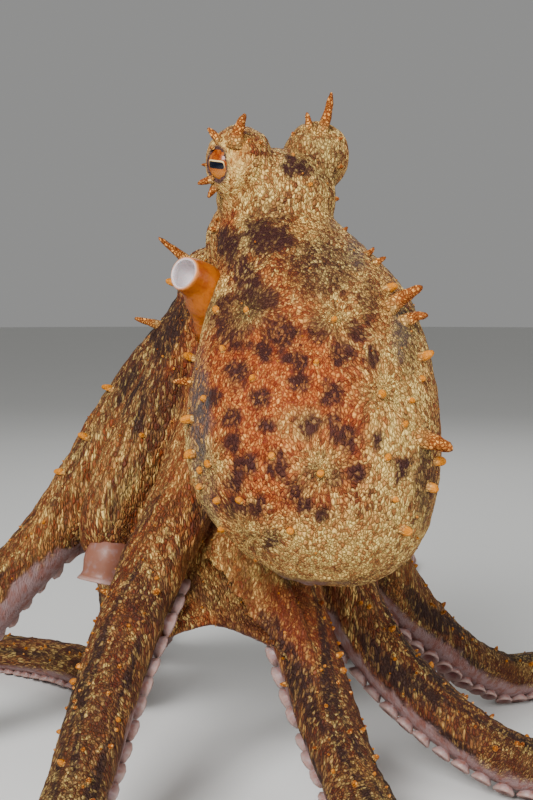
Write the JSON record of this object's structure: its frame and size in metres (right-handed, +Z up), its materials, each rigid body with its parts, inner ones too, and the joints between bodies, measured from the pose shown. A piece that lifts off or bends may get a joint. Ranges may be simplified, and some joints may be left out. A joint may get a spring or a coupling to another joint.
{
  "type": "common octopus model",
  "caption": "Life-size octopus standing tall on spread, curled arms with rows of suckers, warty mantle hanging behind a horned head, open funnel and webbed crown.",
  "frame": {"origin": "on the floor, below the middle of the box round the whole animal with its spread arms", "axes": "+Z up, the animal's back faces -Y, the long way of the spread arms lies along X"},
  "size_m": [1.0156, 0.9848, 0.3511],
  "materials": {
    "mantle_skin": "granular skin, rust red and cream, satin",
    "head_skin": "granular skin, cream and brown, satin",
    "arm_skin": "granular skin, brown and ochre, satin",
    "funnel_skin": "smooth translucent orange skin",
    "eye": "glossy orange iris with a dark slot pupil",
    "sucker_skin": "soft pink cups, satin"
  },
  "bodies": {
    "root": {"mantle": "mantle_skin", "head": "head_skin", "eye_left": "eye", "eye_right": "eye", "funnel": "funnel_skin", "arm_left_4_base": "arm_skin", "arm_left_4_middle": "arm_skin", "arm_left_4_tip": "arm_skin", "arm_left_3_base": "arm_skin", "arm_left_3_middle": "arm_skin", "arm_left_3_tip": "arm_skin", "arm_left_2_base": "arm_skin", "arm_left_2_middle": "arm_skin", "arm_left_2_tip": "arm_skin", "arm_left_1_base": "arm_skin", "arm_left_1_middle": "arm_skin", "arm_left_1_tip": "arm_skin", "arm_right_1_base": "arm_skin", "arm_right_1_middle": "arm_skin", "arm_right_1_tip": "arm_skin", "arm_right_2_base": "arm_skin", "arm_right_2_middle": "arm_skin", "arm_right_2_tip": "arm_skin", "arm_right_3_base": "arm_skin", "arm_right_3_middle": "arm_skin", "arm_right_3_tip": "arm_skin", "arm_right_4_base": "arm_skin", "arm_right_4_middle": "arm_skin", "arm_right_4_tip": "arm_skin", "web_left_4_left_3": "arm_skin", "web_left_3_left_2": "arm_skin", "web_left_2_left_1": "arm_skin", "web_left_1_right_1": "arm_skin", "web_right_1_right_2": "arm_skin", "web_right_2_right_3": "arm_skin", "web_right_3_right_4": "arm_skin", "web_right_4_left_4": "arm_skin"}
  },
  "joints": []
}
